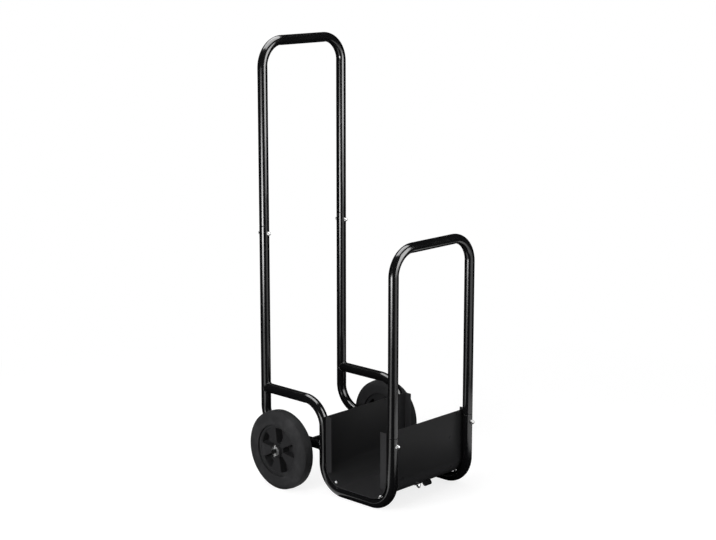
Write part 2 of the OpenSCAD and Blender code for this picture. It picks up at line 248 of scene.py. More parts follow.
def edge_mask(tree, reach):
    """1 along sharp outer edges, fading to 0 over the given reach."""
    soft = new_node(tree, "Bevel", Radius=reach)
    soft.samples = 4
    match = new_node(tree, "VectorMath")
    match.operation = "DOT_PRODUCT"
    give(tree, soft.outputs["Normal"], match.inputs[0])
    give(tree, new_node(tree, "NewGeometry").outputs["Normal"], match.inputs[1])
    return remap(tree, match.outputs["Value"], 0.985, 0.88, 0.0, 1.0)


def effect(name, **takes):
    """Starts a shared effect. Gives its tree, what it takes, its way out and its place."""
    tree = bpy.data.node_groups.new(name, "ShaderNodeTree")
    puts_out = {"Colour": (0.0, 0.0, 0.0, 1.0), "Roughness": 0.3, "Height": 0.0}
    for way, sockets in (("INPUT", takes), ("OUTPUT", puts_out)):
        for word, value in sockets.items():
            kind = "NodeSocketColor" if isinstance(value, tuple) else "NodeSocketFloat"
            socket = tree.interface.new_socket(name=word, in_out=way, socket_type=kind)
            socket.default_value = value
    return (tree, tree.nodes.new("NodeGroupInput").outputs, tree.nodes.new("NodeGroupOutput"),
            new_node(tree, "TexCoord").outputs["Object"])


# Baked powder coat: fine orange peel, cloudy gloss, a trace of dust on top faces, and
# edges where handling has dulled it.
coat, coat_in, coat_out, coat_place = effect(
    "baked_coat", Colour=(0.01, 0.01, 0.01, 1.0), Gloss=0.2, Peel=650.0, Dust=0.2)
upright = new_node(coat, "SeparateXYZ", Vector=new_node(coat, "NewGeometry").outputs["Normal"])
lying = remap(coat, upright.outputs["Z"], 0.2, 1.0, 0.0, 1.0)
cloud = noise(coat, 16.0, 4.0, coat_place)
patchy = remap(coat, cloud, 0.42, 0.68, 0.25, 1.0)
specks = remap(coat, noise(coat, 1500.0, 2.0, coat_place), 0.62, 0.74, 0.0, 1.0)
dust = reckon(coat, "MULTIPLY", reckon(coat, "MULTIPLY", specks, lying),
              reckon(coat, "MULTIPLY", patchy, coat_in["Dust"]))
scuff = remap(coat, noise(coat, 240.0, 3.0, coat_place), 0.40, 0.62, 0.25, 1.0)
worn = reckon(coat, "MULTIPLY", edge_mask(coat, 0.9 * mm), scuff)
worn_colour = blend_colours(coat, reckon(coat, "MULTIPLY", worn, 0.6), coat_in["Colour"],
                            (0.085, 0.083, 0.080, 1.0))
cloudy_gloss = reckon(coat, "ADD", coat_in["Gloss"], remap(coat, cloud, 0.3, 0.7, -0.03, 0.04))
dusty_gloss = reckon(coat, "ADD", cloudy_gloss, remap(coat, dust, 0.0, 1.0, 0.0, 0.35))
fill_in(coat, coat_out, Colour=blend_colours(coat, dust, worn_colour, (0.16, 0.155, 0.15, 1.0)),
        Roughness=reckon(coat, "ADD", dusty_gloss, reckon(coat, "MULTIPLY", worn, 0.15)),
        Height=noise(coat, coat_in["Peel"], 2.0, coat_place))


def surfaced(name, effect_tree, strength, depth, level, **values):
    """Material with a shared effect placed in it and the effect's height as fine bump."""
    material = bpy.data.materials.new(name)
    material.use_nodes = True
    tree = material.node_tree
    shader = tree.nodes["Principled BSDF"]
    skin = new_node(tree, "Group")
    skin.node_tree = effect_tree
    fill_in(tree, skin, **values)
    bump = new_node(tree, "Bump", Strength=strength, Distance=depth,
                    Height=skin.outputs["Height"])
    fill_in(tree, shader, Base_Color=skin.outputs["Colour"], Normal=bump.outputs["Normal"],
            Roughness=skin.outputs["Roughness"], Specular_IOR_Level=level)
    return material


def coated(name, colour, gloss, peel, dust, depth, level):
    """Powder coated steel."""
    return surfaced(name, coat, strength=1.0, depth=depth, level=level,
                    Colour=(*colour, 1.0), Gloss=gloss, Peel=peel, Dust=dust)


gloss_black = coated("gloss_black_tube", (0.0035, 0.0035, 0.0038), gloss=0.15, peel=620.0,
                     dust=0.15, depth=0.0006 * mm, level=0.7)


def side_frame(side, word):
    x = side * side_x
    foot_z = tube_r + bend_r
    bm, tip = bent_tube(Vector((x, front_y, front_joint_z)), DOWN.copy(), [
        ("run", front_joint_z - foot_z),
        ("bend", BACK),
        ("run", mid_y - front_y - 2 * bend_r),
        ("bend", UP),
        ("run", rail_z - foot_z - bend_r),
        ("bend", BACK),
        ("run", rear_y - mid_y - bend_r),
    ])
    cope(tip, rear_y, 1)
    ease_mouth(bm, front_joint_z, x, front_y)
    made_of(bm, "bent_side_tube_" + word, gloss_black, "frame",
            ["side_frame_" + word])


for side, word in sides:
    side_frame(side, word)

# ---- rear tubes ------------------------------
# The rear uprights are bent forward at the foot into a lower rail, which lies on
# the axle and is welded to the middle upright. Same tube and coat.

rear_lo, rear_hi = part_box("rear_tube_right")
rear_joint_z = rear_hi.z
low_rail_z = rear_lo.z + tube_r


def rear_tube(side, word):
    x = side * side_x
    bm, tip = bent_tube(Vector((x, rear_y, rear_joint_z)), DOWN.copy(), [
        ("run", rear_joint_z - low_rail_z - bend_r),
        ("bend", FORTH),
        ("run", rear_y - bend_r - mid_y),
    ])
    cope(tip, mid_y, -1)
    ease_mouth(bm, rear_joint_z, x, rear_y)
    made_of(bm, "bent_rear_tube_" + word, gloss_black, "frame",
            ["rear_tube_" + word])


for side, word in sides:
    rear_tube(side, word)

# ---- front hoop and handle -------------------
# Two bent U tubes. Their ends are swaged down to plug into the uprights below,
# which leaves a fine groove round each joint.

plug_slack = 0.15 * mm
shoulder = 1.6 * mm


def swell(bm, ring, at, heading, grows):
    """Rounded shoulder between the reduced end and the full tube."""
    plug_share = (tube_r - tube_wall - plug_slack) / tube_r
    steps = 5
    reach = [shoulder * (1 - math.cos(quarter * i / steps)) for i in range(steps + 1)]
    size = [plug_share + (1 - plug_share) * math.sin(quarter * i / steps)
            for i in range(steps + 1)]
    if not grows:
        reach = [shoulder - r for r in reversed(reach)]
        size = size[::-1]
    for i in range(steps):
        ring = draw_out(bm, ring, heading * (reach[i + 1] - reach[i]))
        centre = at + heading * reach[i + 1]
        corners = list({v for face in ring for v in face.verts})
        share = size[i + 1] / size[i]
        bmesh.ops.scale(bm, vec=(share, share, share), verts=corners,
                        space=Matrix.Translation(-centre))
    return ring


def u_tube(name, node, y, joint_z):
    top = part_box(node)[1].z - tube_r
    rise = top - bend_r - joint_z - shoulder
    bm = bent_tube(Vector((-side_x, y, joint_z - plug_length)), UP.copy(), [
        ("run", plug_length),
        ("shoulder", True),
        ("run", rise),
        ("bend", Vector((1, 0, 0))),
        ("run", 2 * (side_x - bend_r)),
        ("bend", DOWN),
        ("run", rise),
        ("shoulder", False),
        ("run", plug_length),
    ], outer=tube_r - tube_wall - plug_slack)[0]
    made_of(bm, name, gloss_black, "frame", [node])


u_tube("bent_front_hoop", "front_hoop", front_y, front_joint_z)
u_tube("bent_push_handle", "push_handle", rear_y, rear_joint_z)

# ---- weld beads ------------------------------
# Beads laid by hand round each rail's end, and under the lower rails where they
# lie on the axle. They were coated over with the tubes, so their ripples shine.

bead_r = 1.9 * mm
ripples = 26


def bead_ring(bm, radius, section_at, centre, axis, steps):
    """Round bead bent into a ring."""
    section = bmesh.ops.create_circle(bm, segments=12, radius=radius, matrix=section_at)["verts"]
    edges = list({e for v in section for e in v.link_edges})
    bmesh.ops.spin(bm, geom=section + edges, cent=centre, axis=axis, angle=full_turn,
                   steps=steps, use_merge=True)


def butt_weld(name, x, y, z, facing):
    """Bead along the saddle where a rail's end meets an upright of the same size."""
    ripple_depth, sway = 0.10, 0.06
    saddle_flat = 0.01       # keeps the saddle's flanks from ending in a point
    bm = bmesh.new()
    bead_ring(bm, bead_r, Matrix.Translation((x, y, z + tube_r))
              @ Matrix.Rotation(quarter, 4, "Y"), (x, y, z), (0, 1, 0), ripples * 5)
    for vert in bm.verts:
        angle = math.atan2(vert.co.x - x, vert.co.z - z)
        core = Vector((x + tube_r * math.sin(angle), y, z + tube_r * math.cos(angle)))
        ripple = 1 + ripple_depth * math.cos(angle * ripples) + sway * math.sin(angle * 3)
        vert.co = core + (vert.co - core) * ripple
        vert.co.y -= facing * tube_r * math.sqrt(math.cos(angle) ** 2 + saddle_flat)
    made_of(bm, name, gloss_black, "frame", [])


axle_lo, axle_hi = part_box("axle_rod")
axle_r = (axle_hi.z - axle_lo.z) / 2
axle_y = (axle_hi.y + axle_lo.y) / 2
axle_z = (axle_hi.z + axle_lo.z) / 2


def axle_weld(name, x):
    """Bead round the spot where the lower rail lies across the axle."""
    bm = bmesh.new()
    reach = 4.4 * mm
    drawn_r = 1 * mm
    fullness, ripple_depth = 0.9, 0.08
    bead_ring(bm, drawn_r, Matrix.Translation((reach, 0, 0))
              @ Matrix.Rotation(quarter, 4, "X"), (0, 0, 0), (0, 0, 1), 64)
    for vert in bm.verts:
        angle = math.atan2(vert.co.y, vert.co.x)
        core = Vector((reach * math.cos(angle), reach * math.sin(angle), 0))
        roof = low_rail_z - math.sqrt(tube_r ** 2 - core.x ** 2)
        bottom = axle_z + math.sqrt(axle_r ** 2 - core.y ** 2)
        fat = (roof - bottom) / (2 * drawn_r) + fullness + ripple_depth * math.cos(angle * 16)
        vert.co = core + (vert.co - core) * fat + Vector((x, axle_y, (roof + bottom) / 2))
    made_of(bm, name, gloss_black, "frame", [])


for side, word in sides:
    butt_weld("rail_weld_" + word, side * side_x, rear_y, rail_z, 1)
    butt_weld("lower_rail_weld_" + word, side * side_x, mid_y, low_rail_z, -1)
    axle_weld("axle_weld_" + word, side * side_x)

# ---- joint bolts and nuts --------------------
# A hexagon bolt holds each plugged joint, with its head at the rear and a domed
# cap nut at the front. Cold formed steel, bright zinc plated.

hex_across = 10 * mm
nut_hex_h = 4.5 * mm
dome_r = 4.5 * mm
bolt_r = 3 * mm
hex_rubbed = 0.45 * mm
sunk = 0.1 * mm          # how far one turned piece is sunk into the next
thread_past = 3 * mm     # how far a bolt's thread reaches past what it clamps
nut_collar = 0.5 * mm
nut_height = nut_hex_h + nut_collar + dome_r

# Zinc plate: a cloudy passivated film, fine scratches and rubbed edges.
plate, plate_in, plate_out, plate_place = effect(
    "zinc_film", Colour=(0.6, 0.6, 0.6, 1.0), Gloss=0.25, Grain=900.0)
stretch = new_node(plate, "Mapping", Vector=plate_place, Rotation=(0.3, 0.2, 0.6),
                   Scale=(1.0, 14.0, 1.0))
bloom = noise(plate, 260.0, 4.0, plate_place, 0.6)
scratch = remap(plate, noise(plate, 420.0, 2.0, stretch.outputs["Vector"]), 0.60, 0.66, 0.0, 1.0)
rubbed = reckon(plate, "MAXIMUM", reckon(plate, "MULTIPLY", scratch, 0.5),
                reckon(plate, "MULTIPLY", edge_mask(plate, 0.5 * mm), 0.7))
film_tint = blend_colours(plate, remap(plate, bloom, 0.35, 0.7, 0.0, 1.0), plate_in["Colour"],
                          (0.68, 0.69, 0.71, 1.0))
fill_in(plate, plate_out,
        Colour=blend_colours(plate, rubbed, film_tint, (0.80, 0.80, 0.79, 1.0)),
        Roughness=reckon(plate, "ADD", plate_in["Gloss"],
                         remap(plate, bloom, 0.3, 0.7, -0.05, 0.12)),
        Height=reckon(plate, "SUBTRACT", noise(plate, plate_in["Grain"], 3.0, plate_place),
                      reckon(plate, "MULTIPLY", scratch, 0.4)))


def plated(name, colour, gloss, fineness):
    """Bare or plated bright metal."""
    material = surfaced(name, plate, strength=0.25, depth=0.04 * mm, level=0.5,
                        Colour=(*colour, 1.0), Gloss=gloss, Grain=fineness)
    material.node_tree.nodes["Principled BSDF"].inputs["Metallic"].default_value = 1.0
    return material


zinc = plated("zinc_fixings", (0.8, 0.8, 0.78), gloss=0.4, fineness=900.0)


def arc(centre_r, centre_h, radius, start, end, steps):
    """Points of a rounding in an outline of (radius, height)."""
    turns = [math.radians(start + (end - start) * i / steps) for i in range(steps + 1)]
    return [(centre_r + radius * math.cos(t), centre_h + radius * math.sin(t)) for t in turns]


def turned(bm, outline, steps=32):
    """Turns an outline of (radius, height) points round the Z axis."""
    points = [bm.verts.new((r, 0, h)) for r, h in outline]
    edges = [bm.edges.new(pair) for pair in zip(points, points[1:])]
    bmesh.ops.spin(bm, geom=points + edges, cent=(0, 0, 0), axis=(0, 0, 1),
                   angle=full_turn, steps=steps, use_merge=True)
    bmesh.ops.remove_doubles(bm, verts=bm.verts, dist=0.001 * mm)


def hexagon(bm, low, high):
    """Hexagon from height low to high, with its edges rubbed round."""
    made = bmesh.ops.create_circle(bm, cap_ends=True, segments=6,
                                   radius=hex_across / 2 / math.cos(math.pi / 6),
                                   matrix=Matrix.Translation((0, 0, low)))
    base = made["verts"][0].link_faces[0]
    top = bmesh.ops.extrude_face_region(bm, geom=[base])["geom"]
    bmesh.ops.translate(bm, verts=of_kind(top, bmesh.types.BMVert), vec=(0, 0, high - low))
    corners = made["verts"] + of_kind(top, bmesh.types.BMVert)
    rounded(bm, list({e for v in corners for e in v.link_edges}), hex_rubbed, 3)


def set_out(bm, places):
    """Copies what bm holds to every place."""
    first = bm.verts[:] + bm.edges[:] + bm.faces[:]
    for place in places[1:]:
        copy = bmesh.ops.duplicate(bm, geom=first)["geom"]
        bmesh.ops.transform(bm, matrix=place, verts=of_kind(copy, bmesh.types.BMVert))
    bmesh.ops.transform(bm, matrix=places[0], verts=of_kind(first, bmesh.types.BMVert))


def cap_nuts(name, node, places):
    bm = bmesh.new()
    neck = nut_hex_h - sunk
    dome_h = nut_height - dome_r
    turned(bm, [(0, neck), (dome_r, neck)] + arc(0, dome_h, dome_r, 0, 90, 10), 36)
    hexagon(bm, 0, nut_hex_h)
    set_out(bm, places)
    made_of(bm, name, zinc, "frame", [node])


def hex_bolts(name, node, places, grip):
    """Head below height 0, with a shallow dished top, and the shank above."""
    bm = bmesh.new()
    head = 4 * mm
    crown_rise = 0.15 * mm
    hexagon(bm, crown_rise - head, 0)
    crown_inset, crown_slope = 0.7 * mm, 0.5 * mm
    crown_r = hex_across / 2 - crown_inset
    point = 0.6 * mm
    tip = grip + thread_past + point
    turned(bm, [(0, -head), (crown_r - crown_slope, -head), (crown_r, 2 * crown_rise - head),
                (0, 2 * crown_rise - head)], 36)
    turned(bm, [(0, -sunk), (bolt_r, -sunk), (bolt_r, tip - point), (bolt_r - point, tip),
                (0, tip)], 24)
    set_out(bm, places)
    made_of(bm, name, zinc, "frame", [node])


def across_upright(y, z, set_back):
    """Places on both uprights, with +Z of the fixing to the front."""
    turn = Matrix.Rotation(quarter, 4, "X")
    return [Matrix.Translation((x, y - set_back, z)) @ turn for x in (-side_x, side_x)]


bolt_drop = 18.5 * mm
front_bolt_z = front_joint_z - bolt_drop
rear_bolt_z = rear_joint_z - bolt_drop
sheet_t = 1.2 * mm
touch = 0.05 * mm
cap_nuts("handle_cap_nuts", "handle_nuts", across_upright(rear_y, rear_bolt_z, tube_r))
cap_nuts("hoop_cap_nuts", "hoop_nuts", across_upright(front_y, front_bolt_z, tube_r))
hex_bolts("handle_hex_bolts", "handle_bolts", across_upright(rear_y, rear_bolt_z, -tube_r),
          2 * tube_r)
hex_bolts("hoop_hex_bolts", "hoop_bolts",
          across_upright(front_y, front_bolt_z, -tube_r - touch - sheet_t),
          2 * tube_r + touch + sheet_t)

# ---- log tray --------------------------------
# One steel sheet bent up along the inside of the side tubes. The ends of its two
# walls are folded inwards into stiffening flanges. Semi-gloss black powder coat.

tray_lo, tray_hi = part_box("log_tray")
toe_y = front_y + bend_r
heel_y = mid_y - bend_r
bend_z = tube_r + bend_r
sheet_r = toe_y - tray_lo.y
fold_r = 2.5 * mm
flange_depth = 20 * mm
flange_low_z = 57 * mm
flange_corner = 5 * mm
tray_half = tray_hi.x - fold_r

sheet_black = coated("black_sheet", (0.0205, 0.0205, 0.0214), gloss=0.3, peel=520.0, dust=0.4,
                     depth=0.0005 * mm, level=0.1)


def draw_edges(bm, edges, step):
    """Draws edges straight on into a strip. Gives its far edges and corners."""
    made = bmesh.ops.extrude_edge_only(bm, edges=edges)["geom"]
    verts = of_kind(made, bmesh.types.BMVert)
    bmesh.ops.translate(bm, verts=verts, vec=step)
    return [e for e in of_kind(made, bmesh.types.BMEdge) if all(v in verts for v in e.verts)], verts


def bend_edges(bm, edges, centre, axis, angle, steps):
    """Bends edges on round a centre into a strip. Gives its far edges and corners."""
    verts = list({v for e in edges for v in e.verts})
    made = bmesh.ops.spin(bm, geom=edges + verts, cent=centre, axis=axis, angle=angle,
                          steps=steps)["geom_last"]
    return of_kind(made, bmesh.types.BMEdge), of_kind(made, bmesh.types.BMVert)


def of_sheet(bm, under, name, material, thick, eased, steps, node):
    """Makes a sheet piece of its outer side. The face called under has to look down."""
    bmesh.ops.recalc_face_normals(bm, faces=bm.faces)
    if under.normal.z > 0:
        bmesh.ops.reverse_faces(bm, faces=bm.faces)
    for face in bm.faces:
        face.smooth = True
    piece = set_down(bm, name, material)
    sheet = piece.modifiers.new("sheet", "SOLIDIFY")
    sheet.thickness = thick
    sheet.offset = -1
    sheet.use_even_offset = True
    cut_edge = piece.modifiers.new("cut_edges", "BEVEL")
    cut_edge.width = eased
    cut_edge.segments = steps
    cut_edge.limit_method = "ANGLE"
    cut_edge.angle_limit = math.radians(50)
    fitted(piece, "frame", [node])


def flange(bm, wall_y, inward, side):
    """Folds one end of a tray wall inwards, down to a rounded lower corner."""
    end = [e for e in bm.edges if all(
        abs(v.co.x - side * tray_half) < hair and abs(v.co.y - wall_y) < hair
        and v.co.z > bend_z - hair for v in e.verts)]
    fold_edges, fold_verts = bend_edges(
        bm, end, (side * tray_half, wall_y + inward * fold_r, 0), (0, 0, side * inward),
        quarter, 5)
    lip_verts = draw_edges(bm, fold_edges, (0, inward * (flange_depth - fold_r), 0))[1]
    foot = [e for e in bm.edges if all(
        abs(v.co.z - bend_z) < hair and v in fold_verts + lip_verts for v in e.verts)]
    drop = bend_z - flange_low_z
    foot_verts = draw_edges(bm, foot, (0, 0, -drop))[1]
    near = min(foot_verts, key=lambda v: abs(v.co.y - wall_y))
    near.co.y = wall_y + inward * (sheet_r - math.sqrt(sheet_r ** 2 - drop ** 2) + 2 * sheet_t)
    far = max(foot_verts, key=lambda v: abs(v.co.y - wall_y))
    rounded(bm, [far], flange_corner, 5, "VERTICES")


def log_tray():
    bm = bmesh.new()
    ends = [bm.verts.new((x, tray_lo.y, tray_hi.z)) for x in (-tray_half, tray_half)]
    edges = [bm.edges.new(ends)]
    wall_h = tray_hi.z - bend_z
    for straight, bend_y in ((DOWN * wall_h, toe_y), (BACK * (heel_y - toe_y), heel_y)):
        edges = draw_edges(bm, edges, straight)[0]
        edges = bend_edges(bm, edges, (0, bend_y, bend_z), (1, 0, 0), quarter, 20)[0]
    draw_edges(bm, edges, UP * wall_h)
    for wall_y, inward in ((tray_lo.y, 1), (tray_hi.y, -1)):
        for side in (LEFT, RIGHT):
            flange(bm, wall_y, inward, side)
    skirt = [e for e in bm.edges if e.is_boundary and all(
        abs(abs(v.co.x) - tray_half) < hair and v.co.z < bend_z + hair for v in e.verts)]
    for vert in draw_edges(bm, skirt, (0, 0, 0))[1]:
        vert.co.x += math.copysign(fold_r, vert.co.x)
    lowest = min(bm.faces, key=lambda f: f.calc_center_median().z)
    of_sheet(bm, lowest, "folded_log_tray", sheet_black, sheet_t, 0.3 * mm, 2, "log_tray")


log_tray()

# ---- tray screws -----------------------------
# Four round-headed screws hold the tray's bends to the runners, with their heads
# inside the tray. Cold headed steel, zinc plated.

screw_angle = math.radians(29)
head_r = 5 * mm
head_h = 3.4 * mm
screw_r, screw_length = 2.5 * mm, 10 * mm
head_seat_r = math.sqrt((sheet_r - sheet_t) ** 2 - head_r ** 2) - touch


def round_head(bm, shank_r, length):
    """Round head above height 0 and its shank below."""
    ball_r = (head_r ** 2 + head_h ** 2) / (2 * head_h)
    point, brim_eased = 0.5 * mm, 0.1 * mm
    brim = math.degrees(math.asin((ball_r - head_h) / ball_r))
    crown = arc(0, head_h - ball_r, ball_r, brim, 90, 10)[1:]
    turned(bm, [(0, 0), (head_r - brim_eased, 0)] + crown, 36)
    turned(bm, [(0, sunk), (shank_r, sunk), (shank_r, point - length),
                (shank_r - point, -length), (0, -length)], 20)


def on_bend(x, centre_y, angle, radius, outward):
    """Place on a tray bend, with +Z of the fixing along the bend's radius."""
    out = Vector((0, math.cos(angle), math.sin(angle)))
    turn = UP.rotation_difference(out if outward else -out).to_matrix().to_4x4()
    return Matrix.Translation(Vector((x, centre_y, bend_z)) + out * radius) @ turn


toe_angle = 1.5 * math.pi - screw_angle
heel_angle = 1.5 * math.pi + screw_angle
screws = bmesh.new()
round_head(screws, screw_r, screw_length)
set_out(screws, [on_bend(x, y, angle, head_seat_r, False)
                 for x in (-side_x, side_x)
                 for y, angle in ((toe_y, toe_angle), (heel_y, heel_angle))])
made_of(screws, "round_tray_screws", zinc, "frame", ["tray_screws"])

# ---- tray lug, its bolt and nut --------------
# A small steel lug under the middle of the front bend, cut from plate and bent
# down into a rounded ear. One bolt with a domed cap nut holds it.

lug_x = -2 * mm
lug_t = 2 * mm
lug_out_r = sheet_r + touch + lug_t
lug_spread = math.radians(8)
lug_near, lug_ear, lug_far = -7 * mm, 7 * mm, 38 * mm
ear_depth = 13 * mm
ear_corner, lug_corner = 6 * mm, 2 * mm
lug_bolt_past = 4 * mm


def tray_lug():
    bm = bmesh.new()
    start = toe_angle + lug_spread
    out = Vector((0, math.cos(start), math.sin(start)))
    at = Vector((lug_x, toe_y, bend_z)) + out * lug_out_r
    verts = [bm.verts.new(at + Vector((x, 0, 0))) for x in (lug_near, lug_ear, lug_far)]
    edges = [bm.edges.new(pair) for pair in zip(verts, verts[1:])]
    edges = bend_edges(bm, edges, (0, toe_y, bend_z), (1, 0, 0), -2 * lug_spread, 6)[0]
    ear_edge = [e for e in edges if all(v.co.x > lug_x + lug_ear - hair for v in e.verts)]
    end = start - 2 * lug_spread
    fall = Vector((0, math.cos(end), math.sin(end)))
    tip = draw_edges(bm, ear_edge, fall * (ear_depth - lug_t))[1]
    rounded(bm, tip, ear_corner, 6, "VERTICES")
    corners = [v for v in bm.verts if abs(v.co.x - lug_x - lug_near) < hair
               and len(v.link_edges) == 2]
    rounded(bm, corners, lug_corner, 4, "VERTICES")
    foot = max(bm.faces, key=lambda f: f.calc_center_median().y)
    of_sheet(bm, foot, "bent_tray_lug", gloss_black, lug_t, 0.35 * mm, 3, "tray_lug")


tray_lug()
cap_nuts("lug_cap_nut", "lug_nut", [on_bend(lug_x, toe_y, toe_angle, lug_out_r + touch, True)])
lug_screw = bmesh.new()
round_head(lug_screw, bolt_r, lug_out_r + lug_bolt_past - head_seat_r)
set_out(lug_screw, [on_bend(lug_x, toe_y, toe_angle, head_seat_r, False)])
made_of(lug_screw, "lug_round_bolt", zinc, "frame", ["lug_bolt"])

# ---- axle and spacers ------------------------
# A plain steel rod painted black, with turned ends. A short sleeve on each end
# keeps the wheel off the frame.

axle_end_x = axle_hi.x
axle_black = coated("black_axle", (0.004, 0.004, 0.004), gloss=0.34, peel=800.0, dust=0.2,
                    depth=0.003 * mm, level=0.15)


def along_axle(side):
    """Puts +Z of a turned piece on the axle, pointing away from the frame."""
    return Matrix.Translation((0, axle_y, axle_z)) @ Matrix.Rotation(side * quarter, 4, "Y")


def axle():
    chamfer, dimple = 1 * mm, 1.6 * mm
    half = [(0, axle_end_x - dimple), (dimple, axle_end_x), (axle_r - chamfer, axle_end_x),
            (axle_r, axle_end_x - chamfer)]
    bm = bmesh.new()
    turned(bm, half + [(r, -h) for r, h in reversed(half)], 40)
    set_out(bm, [along_axle(RIGHT)])
    made_of(bm, "turned_axle", axle_black, "frame", ["axle_rod"])


axle()


def washer_like(bm, outer, bore, low, high, ease):
    """Ring round the axle with its outer edges eased."""
    outline = [(bore, low), (outer - ease, low)]
    outline += arc(outer - ease, low + ease, ease, -90, 0, 3)[1:]
    outline += arc(outer - ease, high - ease, ease, 0, 90, 3)
    outline += [(bore, high), (bore, low)]
    turned(bm, outline, 48)


for side, word in sides:
    spacer_lo, spacer_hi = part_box("spacer_" + word)
    near_x = min(abs(spacer_lo.x), abs(spacer_hi.x))
    far_x = max(abs(spacer_lo.x), abs(spacer_hi.x))
    sleeve = bmesh.new()
    washer_like(sleeve, (spacer_hi.z - spacer_lo.z) / 2, axle_r + touch, near_x, far_x,
                ease=0.5 * mm)
    set_out(sleeve, [along_axle(side)])
    made_of(sleeve, "cut_spacer_" + word, axle_black, "frame", ["spacer_" + word])

# ---- rims ------------------------------------
# Moulded plastic wheel centres: five spokes between deep pockets, a raised edge
# round the face and a long hub. Fine spark-eroded grain from the mould.

tyre_lo, tyre_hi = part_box("tyre_right")
wheel_x = (tyre_lo.x + tyre_hi.x) / 2
rim_r = 66 * mm
rim_half = 13.5 * mm
rim_edge = 7 * mm
spoke_face = 11.5 * mm
hub_r = 15 * mm
hub_out = 21 * mm
hub_in = 30 * mm
hub_bore = 8.07 * mm
pocket_depth = 22 * mm
pocket_in, pocket_out = 17.5 * mm, 57.5 * mm
back_pocket_in = 20.5 * mm
outer_corner, inner_corner = 3.2 * mm, 2.4 * mm
window_half = math.radians(18)
back_half = math.radians(15)
edge_r = 0.6 * mm
rim_round = 1.2 * mm
spokes = 5
# How far each wheel stands turned, as in the photograph.
first_window = {"left": math.radians(9.6 - 90), "right": math.radians(270 - 33)}

# Moulded surface: a fine even grain with faint flow clouds.
grain, grain_in, grain_out, grain_place = effect(
    "mould_grain", Colour=(0.03, 0.03, 0.03, 1.0), Gloss=0.5, Grain=1800.0, Bloom=0.3)
flow = noise(grain, 22.0, 5.0, grain_place, 0.6)
pits = new_node(grain, "TexVoronoi", Vector=grain_place, Scale=grain_in["Grain"])
bloom_share = reckon(grain, "MULTIPLY", remap(grain, flow, 0.48, 0.74, 0.0, 1.0),
                     grain_in["Bloom"])
bloomed = blend_colours(grain, bloom_share, grain_in["Colour"], (0.075, 0.075, 0.077, 1.0))
handled = reckon(grain, "MULTIPLY", edge_mask(grain, 0.8 * mm), 0.35)
fine = reckon(grain, "MULTIPLY", noise(grain, 3200.0, 2.0, grain_place), 0.4)
fill_in(grain, grain_out,
        Colour=blend_colours(grain, handled, bloomed, (0.06, 0.06, 0.061, 1.0)),
        Roughness=reckon(grain, "ADD", grain_in["Gloss"],
                         remap(grain, flow, 0.3, 0.7, -0.06, 0.08)),
        Height=reckon(grain, "ADD", reckon(grain, "MULTIPLY", pits.outputs["Distance"], 0.6),
                      fine))


def moulded(name, colour, gloss, pitting, bloom, depth, level):
    """Moulded rubber or plastic."""
    return surfaced(name, grain, strength=0.4, depth=depth, level=level,
                    Colour=(*colour, 1.0), Gloss=gloss, Grain=pitting, Bloom=bloom)


rim_plastic = moulded("rim_plastic", (0.018, 0.018, 0.0188), gloss=0.46, pitting=1700.0,
                      bloom=0.2, depth=0.06 * mm, level=0.1)


def pocket(bm, face_z, into, centre_angle, half, inner_r):
    """Deep pocket with a rounded sector outline, eased edges, draft and filleted floor."""
    low, high = inner_r - edge_r, pocket_out + edge_r
    spread_low = half + math.asin(edge_r / low)
    spread_high = half + math.asin(edge_r / high)
    wide, narrow = 8, 3
    arcs = [(high, spread_high * (2 * i / wide - 1)) for i in range(wide + 1)]
    arcs += [(low, spread_low * (1 - 2 * i / narrow)) for i in range(narrow + 1)]
    verts = [bm.verts.new((r * math.cos(centre_angle + a), r * math.sin(centre_angle + a), face_z))
             for r, a in arcs]
    bm.faces.new(verts)
    rounded(bm, [verts[0], verts[wide]], outer_corner, 6, "VERTICES")
    rounded(bm, [verts[wide + 1], verts[-1]], inner_corner, 5, "VERTICES")
    floor = verts[wide // 2].link_faces[0]
    floor.normal_update()
    if floor.normal.z * into > 0:
        floor.normal_flip()
    fillet, draft, steps = 1 * mm, 0.35 * mm, 3
    turns = [(quarter * i / steps, quarter * (i + 1) / steps) for i in range(steps)]
    insets = [(edge_r * (math.sin(now) - math.sin(was)), edge_r * (math.cos(now) - math.cos(was)))
              for was, now in turns]
    insets.append((draft, edge_r + fillet - pocket_depth))
    insets += [(fillet * (math.cos(was) - math.cos(now)), fillet * (math.sin(was) - math.sin(now)))
               for was, now in turns]
    for inward, drop in insets:
        bmesh.ops.inset_region(bm, faces=[floor], thickness=inward, depth=drop,
                               use_boundary=True, use_even_offset=True)


def on_wheel(side):
    """Puts a wheel's middle where the tyre's is."""
    return along_axle(side) @ Matrix.Translation((0, 0, wheel_x))


def fill_face(bm, height, into):
    """Fills the flat face between the hub, the edge and the pockets."""
    rims = [e for e in bm.edges if e.is_boundary
            and all(abs(v.co.z - height) < 0.001 * mm for v in e.verts)]
    bmesh.ops.triangle_fill(bm, use_beauty=True, use_dissolve=False, edges=rims,
                            normal=(0, 0, -into))


